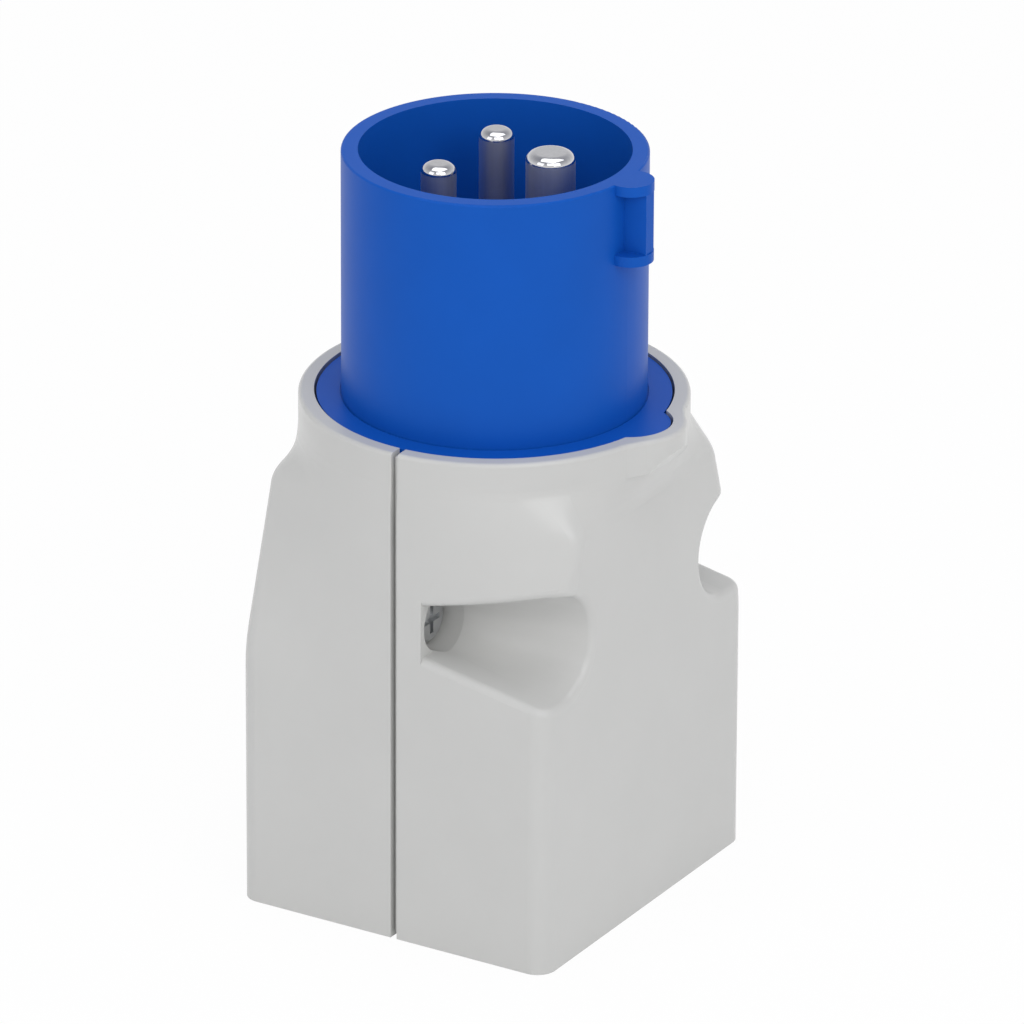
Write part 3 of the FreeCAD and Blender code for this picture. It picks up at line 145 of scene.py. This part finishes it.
class PlasticSettings(bpy.types.PropertyGroup):
    """Colours, roughness and grain of the moulded pieces."""
    grey: colour("Housing grey", "Moulded grey of both housing halves", (0.565, 0.565, 0.550))
    blue: colour("Sleeve blue", "Moulded blue of the plug sleeve", (0.005, 0.090, 0.460))
    socket: colour("Socket grey", "Grey of the socket cup", (0.40, 0.40, 0.39))
    insulator: colour("Insulator", "Dark thermoset inside the housing", (0.035, 0.035, 0.038))
    grain: length("Grain", "Size of the moulded grain", 0.35 * MM, min=0)
    housing_roughness: factor("Housing roughness", "Roughness of the housing", 0.26)
    sleeve_roughness: factor("Sleeve roughness", "Roughness of the sleeve", 0.40)


class MetalSettings(bpy.types.PropertyGroup):
    """Colours of the metal pieces and the wires."""
    nickel: colour("Nickel", "Plating of the plug pins", (0.72, 0.72, 0.74))
    polished: length("Polished tip", "Height of the bright tip of each pin", 1.2 * MM, min=0)
    zinc: colour("Zinc", "Plating of the screws", (0.62, 0.63, 0.64))
    brass: colour("Brass", "Contacts and terminals", (0.72, 0.50, 0.20))
    spring: colour("Spring strip", "Plated strip of the earth clips", (0.68, 0.66, 0.60))
    brown: colour("Brown", "Live wire", (0.115, 0.040, 0.016))
    light_blue: colour("Light blue", "Neutral wire", (0.020, 0.140, 0.480))
    green: colour("Green", "Earth wire", (0.030, 0.250, 0.040))
    yellow: colour("Yellow", "Stripe of the earth wire", (0.780, 0.600, 0.020))


class StageSettings(bpy.types.PropertyGroup):
    """Camera and light."""
    azimuth: angle("Azimuth", "Camera's turn to the right of -Y", 31.034)
    elevation: angle("Elevation", "Camera's height over the horizon", 23.432)
    roll: angle("Roll", "Camera's turn about its own view", 0.2526)
    distance: length("Distance", "Camera to the object's foot", 1582.5 * MM)
    aside: length("Aside", "Camera's shift to its right", 2.565 * MM)
    above: length("Above", "Camera's shift upwards", 51.06 * MM)
    lens: FloatProperty(name="Lens", description="Focal length in mm on a 36 mm sensor",
                        subtype="DISTANCE_CAMERA", default=385.7, min=1)
    key: power("Key light", "Power of the lamp to the right", 2.25)
    fill: power("Fill light", "Power of the lamp to the left", 1.0)
    front: power("Front light", "Power of the lamp in front", 1.5)
    top: power("Top light", "Power of the lamp overhead", 5.3)
    world: FloatProperty(name="World", description="Strength of the light all round",
                         min=0, default=0.94)


# Nodes

class Nodes:
    """Short way of adding and joining the nodes of one tree."""

    def __init__(self, owner):
        owner.use_nodes = True
        self.tree = owner.node_tree
        self.tree.nodes.clear()

    def add(self, kind, sockets=None, **values):
        """Adds a node with its own values and those of its sockets."""
        node = self.tree.nodes.new(kind)
        for key, value in values.items():
            setattr(node, key, value)
        for key, value in (sockets or {}).items():
            node.inputs[key].default_value = value
        return node

    def join(self, source, out, target, into):
        self.tree.links.new(source.outputs[out], target.inputs[into])

    def rays(self, first, *others):
        """1 for rays of any of the kinds, and 0 for all others."""
        path = self.add("ShaderNodeLightPath")
        found, out = path, first
        for kind in others:
            either = self.add("ShaderNodeMath", operation="MAXIMUM")
            self.join(found, out, either, 0)
            self.join(path, kind, either, 1)
            found, out = either, "Value"
        return found

    def close(self, kind, amount, usual, seen):
        """Ends the tree with the usual shader, and with the seen one by the amount."""
        mix = self.add("ShaderNodeMixShader")
        for into, source in enumerate((amount, usual, seen)):
            self.join(source, 0, mix, into)
        self.join(mix, 0, self.add(kind), "Surface")


class Finish(Nodes):
    """Nodes of one material of the object's own pieces."""

    def __init__(self, name, sockets=None):
        self.material = bpy.data.materials.new(name)
        super().__init__(self.material)
        self.shader = self.add("ShaderNodeBsdfPrincipled", sockets)
        self.join(self.shader, "BSDF", self.add("ShaderNodeOutputMaterial"), "Surface")
        self.place = self.add("ShaderNodeTexCoord")

    def noise(self, size, detail=2.0, roughness=0.5, stretch=(1, 1, 1)):
        """Noise whose patches are about size metres across, in the object's own place."""
        mapping = self.add("ShaderNodeMapping", {"Scale": [part / size for part in stretch]})
        self.join(self.place, "Object", mapping, "Vector")
        node = self.add("ShaderNodeTexNoise",
                        {"Scale": 1.0, "Detail": detail, "Roughness": roughness})
        self.join(mapping, "Vector", node, "Vector")
        return node

    def tint(self, source, dark, light, interpolation="LINEAR"):
        """Base colour that runs from dark to light with the source."""
        node = self.add("ShaderNodeValToRGB")
        node.color_ramp.interpolation = interpolation
        for stop, position, base in zip(node.color_ramp.elements, TINT_SPAN, (dark, light)):
            stop.position, stop.color = position, (*base, 1)
        self.join(source, "Fac", node, "Fac")
        self.join(node, "Color", self.shader, "Base Color")

    def roughness(self, source, out, start, end, span=(0.0, 1.0)):
        """Roughness that runs from start to end while the source runs over its span."""
        node = self.add("ShaderNodeMapRange", {"From Min": span[0], "From Max": span[1],
                                               "To Min": start, "To Max": end})
        self.join(source, out, node, "Value")
        self.join(node, "Result", self.shader, "Roughness")

    def bump(self, *layers):
        """Unevenness from layers of source, height and strength, laid one on another."""
        below = None
        for source, height, amount in layers:
            node = self.add("ShaderNodeBump", {"Distance": height, "Strength": amount})
            self.join(source, "Fac", node, "Height")
            if below:
                self.join(below, "Normal", node, "Normal")
            below = node
        self.join(below, "Normal", self.shader, "Normal")


def shade(base, share):
    return [channel * share for channel in base]


# Finishes

def plastic(name, base, rough, grain, grain_height, cloud=CLOUD_CHANGE, specular=PLAIN_SPECULAR):
    """Moulded plastic: even colour with a faint cloud, a fine grain and slow waviness."""
    made = Finish(name, {"Specular IOR Level": specular})
    patches = made.noise(CLOUD_SIZE, detail=3.0, roughness=0.55)
    made.tint(patches, shade(base, 1 - cloud), shade(base, 1 + cloud))
    gloss = made.noise(GLOSS_SIZE, detail=4.0, roughness=0.6)
    made.roughness(gloss, "Fac", rough - GLOSS_CHANGE, rough + GLOSS_CHANGE)
    wave = made.noise(WAVE_SIZE, detail=1.0, roughness=0.4)
    fine = made.noise(grain, detail=3.0, roughness=0.6)
    made.bump((wave, WAVE_HEIGHT, WAVE_STRENGTH), (fine, grain_height, GRAIN_STRENGTH))
    return made.material


def plain_metal(name, base, rough, axis="Z"):
    """Metal with fine tool marks across one axis, and uneven gloss."""
    made = Finish(name, {"Metallic": 1.0})
    stretch = [MARK_STRETCH if letter == axis else 1 for letter in "XYZ"]
    marks = made.noise(MARK_PITCH * MARK_STRETCH, stretch=stretch)
    haze = made.noise(HAZE_SIZE, detail=3.0, roughness=0.6)
    made.tint(haze, shade(base, HAZE_SHADE), base)
    made.roughness(haze, "Fac", rough - HAZE_BRIGHTER, rough + HAZE_DULLER)
    made.bump((marks, MARK_HEIGHT, MARK_STRENGTH))
    return made.material


def pin_metal(name, base, level):
    """Nickel that is polished above a level, and drawn and duller below it."""
    made = Finish(name, {"Metallic": 1.0})
    parts = made.add("ShaderNodeSeparateXYZ")
    made.join(made.place, "Object", parts, "Vector")
    made.roughness(parts, "Z", DRAWN_ROUGHNESS, POLISHED_ROUGHNESS,
                   (level - POLISH_FADE, level + POLISH_FADE))
    streaks = made.noise(STREAK_SIZE, stretch=STREAK_STRETCH)
    made.tint(streaks, shade(base, STREAK_SHADE), base)
    made.bump((streaks, STREAK_HEIGHT, STREAK_STRENGTH))
    return made.material


def insulation(name, base, stripe=None):
    """Soft wire covering, with a second colour in slanted stripes where there is one."""
    made = Finish(name, {"Roughness": COVER_ROUGHNESS})
    fine = made.noise(COVER_SIZE, detail=3.0, roughness=0.6)
    if stripe is None:
        made.tint(fine, shade(base, 1 - COVER_CHANGE), shade(base, 1 + COVER_CHANGE))
    else:
        wave = made.add("ShaderNodeTexWave", {"Scale": STRIPE_SCALE},
                        wave_type="BANDS", bands_direction="DIAGONAL")
        made.join(made.place, "Object", wave, "Vector")
        made.tint(wave, base, stripe, "CONSTANT")
    made.bump((fine, COVER_HEIGHT, COVER_STRENGTH))
    return made.material


def dress(names, material):
    """Gives CAD nodes their finish."""
    for name in names:
        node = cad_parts[name]
        node.data.materials.clear()
        node.data.materials.append(material)


# Operators, one for each group of like pieces

class PieceOperator:
    bl_options = {"REGISTER", "UNDO"}


class ADAPTER_OT_housing(PieceOperator, bpy.types.Operator):
    """Finishes both halves of the grey housing"""
    bl_idname = "adapter.housing"
    bl_label = "Housing"

    def execute(self, context):
        look = context.scene.adapter_plastic
        dress(HOUSING, plastic("housing_grey", look.grey, look.housing_roughness, look.grain,
                               FINE_GRAIN))
        return {"FINISHED"}


class ADAPTER_OT_sleeve(PieceOperator, bpy.types.Operator):
    """Finishes the blue plug sleeve"""
    bl_idname = "adapter.sleeve"
    bl_label = "Plug sleeve"

    def execute(self, context):
        look = context.scene.adapter_plastic
        dress(("plug_sleeve",), plastic("sleeve_blue", look.blue, look.sleeve_roughness,
                                        look.grain, FINE_GRAIN, SLEEVE_CLOUD_CHANGE,
                                        SLEEVE_SPECULAR))
        return {"FINISHED"}


class ADAPTER_OT_pins(PieceOperator, bpy.types.Operator):
    """Finishes the three plug pins"""
    bl_idname = "adapter.pins"
    bl_label = "Pins"

    def execute(self, context):
        metal = context.scene.adapter_metal
        for name in PINS:
            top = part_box(name)[1].z
            dress((name,), pin_metal("%s_nickel" % name, metal.nickel, top - metal.polished))
        return {"FINISHED"}


class ADAPTER_OT_socket(PieceOperator, bpy.types.Operator):
    """Finishes the socket cup, the insulating blocks, the contacts and the earth clips"""
    bl_idname = "adapter.socket"
    bl_label = "Socket"

    def execute(self, context):
        look, metal = context.scene.adapter_plastic, context.scene.adapter_metal
        dress(("socket_cup",), plastic("socket_plastic", look.socket, CUP_ROUGHNESS, look.grain,
                                       CUP_GRAIN))
        dress(INSULATORS, plastic("insulator", look.insulator, INSULATOR_ROUGHNESS, look.grain,
                                  COARSE_GRAIN))
        dress(("earth_strap",), plain_metal("spring_metal", metal.spring, SPRING_ROUGHNESS, "Y"))
        dress(CONTACTS, plain_metal("contact_brass", metal.brass, BRASS_ROUGHNESS))
        return {"FINISHED"}


class ADAPTER_OT_screws(PieceOperator, bpy.types.Operator):
    """Finishes all the screws"""
    bl_idname = "adapter.screws"
    bl_label = "Screws"

    def execute(self, context):
        zinc = context.scene.adapter_metal.zinc
        dress(SCREWS, plain_metal("screw_steel", zinc, SCREW_ROUGHNESS))
        return {"FINISHED"}


class ADAPTER_OT_wires(PieceOperator, bpy.types.Operator):
    """Finishes the three wires inside the housing"""
    bl_idname = "adapter.wires"
    bl_label = "Wires"

    def execute(self, context):
        metal = context.scene.adapter_metal
        dress(("wire_live",), insulation("wire_brown", metal.brown))
        dress(("wire_neutral",), insulation("wire_blue", metal.light_blue))
        dress(("wire_earth",), insulation("wire_green_yellow", metal.green, metal.yellow))
        return {"FINISHED"}


class ADAPTER_OT_stage(PieceOperator, bpy.types.Operator):
    """Makes the pale floor, the soft light and the camera"""
    bl_idname = "adapter.stage"
    bl_label = "Stage"

    def execute(self, context):
        settings = context.scene.adapter_stage
        make_floor()
        make_world(settings.world)
        for name in LAMPS:
            make_lamp(name, getattr(settings, name))
        make_camera(settings)
        context.scene.view_settings.view_transform = "Standard"
        return {"FINISHED"}


# Stage

def make_floor():
    """Pale floor that keeps a soft shadow, and looks white to the camera and to mirrors."""
    mesh = bpy.data.meshes.new("floor")
    reach = FLOOR_REACH
    corners = [(-reach, -reach, 0), (reach, -reach, 0), (reach, reach, 0), (-reach, reach, 0)]
    mesh.from_pydata(corners, [], [(0, 1, 2, 3)])
    floor = bpy.data.objects.new("floor", mesh)
    bpy.context.scene.collection.objects.link(floor)
    material = bpy.data.materials.new("floor_white")
    nodes = Nodes(material)
    seen = nodes.rays("Is Camera Ray", "Is Glossy Ray", "Is Transmission Ray")
    glow = nodes.add("ShaderNodeMath", {1: FLOOR_GLOW}, operation="MULTIPLY")
    nodes.join(seen, "Value", glow, 0)
    nodes.close("ShaderNodeOutputMaterial", glow,
                nodes.add("ShaderNodeBsdfDiffuse", {"Color": FLOOR_GREY}),
                nodes.add("ShaderNodeEmission", WHITE))
    mesh.materials.append(material)


def make_world(strength):
    """Light that is white at the horizon and dimmer above. The camera sees it plain white."""
    world = bpy.data.worlds.new("studio")
    bpy.context.scene.world = world
    nodes = Nodes(world)
    parts = nodes.add("ShaderNodeSeparateXYZ")
    nodes.join(nodes.add("ShaderNodeTexCoord"), "Generated", parts, "Vector")
    sky = nodes.add("ShaderNodeValToRGB")
    stops = sky.color_ramp.elements
    stops.new(SKY[1][0])
    for stop, (position, tone) in zip(stops, SKY):
        stop.position, stop.color = position, tone
    nodes.join(parts, "Z", sky, "Fac")
    light = nodes.add("ShaderNodeBackground", {"Strength": strength})
    nodes.join(sky, "Color", light, "Color")
    nodes.close("ShaderNodeOutputWorld", nodes.rays("Is Camera Ray", "Is Transmission Ray"),
                light, nodes.add("ShaderNodeBackground", WHITE))


def make_lamp(name, watts):
    """Square lamp that faces the middle of the object."""
    place, side = LAMPS[name]
    data = bpy.data.lights.new(name + "_lamp", "AREA")
    data.shape = "SQUARE"
    data.size = side
    data.energy = watts
    lamp = bpy.data.objects.new(name + "_lamp", data)
    middle = (CAD_BOX[0] + CAD_BOX[1]) / 2
    lamp.location = Vector(place)
    lamp.rotation_euler = (middle - lamp.location).to_track_quat("-Z", "Y").to_euler()
    bpy.context.scene.collection.objects.link(lamp)


def make_camera(settings):
    """Camera at the photograph's place."""
    azimuth, elevation = settings.azimuth, settings.elevation
    right = Vector((math.cos(azimuth), math.sin(azimuth), 0))
    back = Vector((math.sin(azimuth) * math.cos(elevation),
                   -math.cos(azimuth) * math.cos(elevation), math.sin(elevation)))
    up = back.cross(right)
    data = bpy.data.cameras.new("camera")
    data.sensor_width = SENSOR_WIDTH
    data.lens = settings.lens
    data.clip_start = NEAREST
    data.clip_end = FARTHEST
    camera = bpy.data.objects.new("camera", data)
    bpy.context.scene.collection.objects.link(camera)
    turn = Matrix((right, up, back)).transposed().to_4x4() @ Matrix.Rotation(settings.roll, 4, "Z")
    where = back * settings.distance + right * settings.aside + up * settings.above
    camera.matrix_world = Matrix.Translation(where) @ turn
    bpy.context.scene.camera = camera


class ADAPTER_PT_panel(bpy.types.Panel):
    """Lists the operators and the settings"""
    bl_idname = "ADAPTER_PT_panel"
    bl_label = "Plug adapter"
    bl_space_type = "VIEW_3D"
    bl_region_type = "UI"
    bl_category = "Plug adapter"

    def draw(self, context):
        for operator in OPERATORS:
            self.layout.operator(operator.bl_idname)
        for name in SETTINGS:
            group = getattr(context.scene, name)
            column = self.layout.column()
            for field in group.__annotations__:
                column.prop(group, field)


OPERATORS = (ADAPTER_OT_housing, ADAPTER_OT_sleeve, ADAPTER_OT_pins, ADAPTER_OT_socket,
             ADAPTER_OT_screws, ADAPTER_OT_wires, ADAPTER_OT_stage)
SETTINGS = {"adapter_plastic": PlasticSettings, "adapter_metal": MetalSettings,
            "adapter_stage": StageSettings}
CLASSES = (*SETTINGS.values(), *OPERATORS, ADAPTER_PT_panel)


def register():
    for item in CLASSES:
        bpy.utils.register_class(item)
    for name, group in SETTINGS.items():
        setattr(bpy.types.Scene, name, PointerProperty(type=group))


def unregister():
    for name in SETTINGS:
        delattr(bpy.types.Scene, name)
    for item in reversed(CLASSES):
        bpy.utils.unregister_class(item)


def main():
    register()
    for operator in OPERATORS:
        group, name = operator.bl_idname.split(".")
        getattr(getattr(bpy.ops, group), name)()


if __name__ == "__main__":
    main()
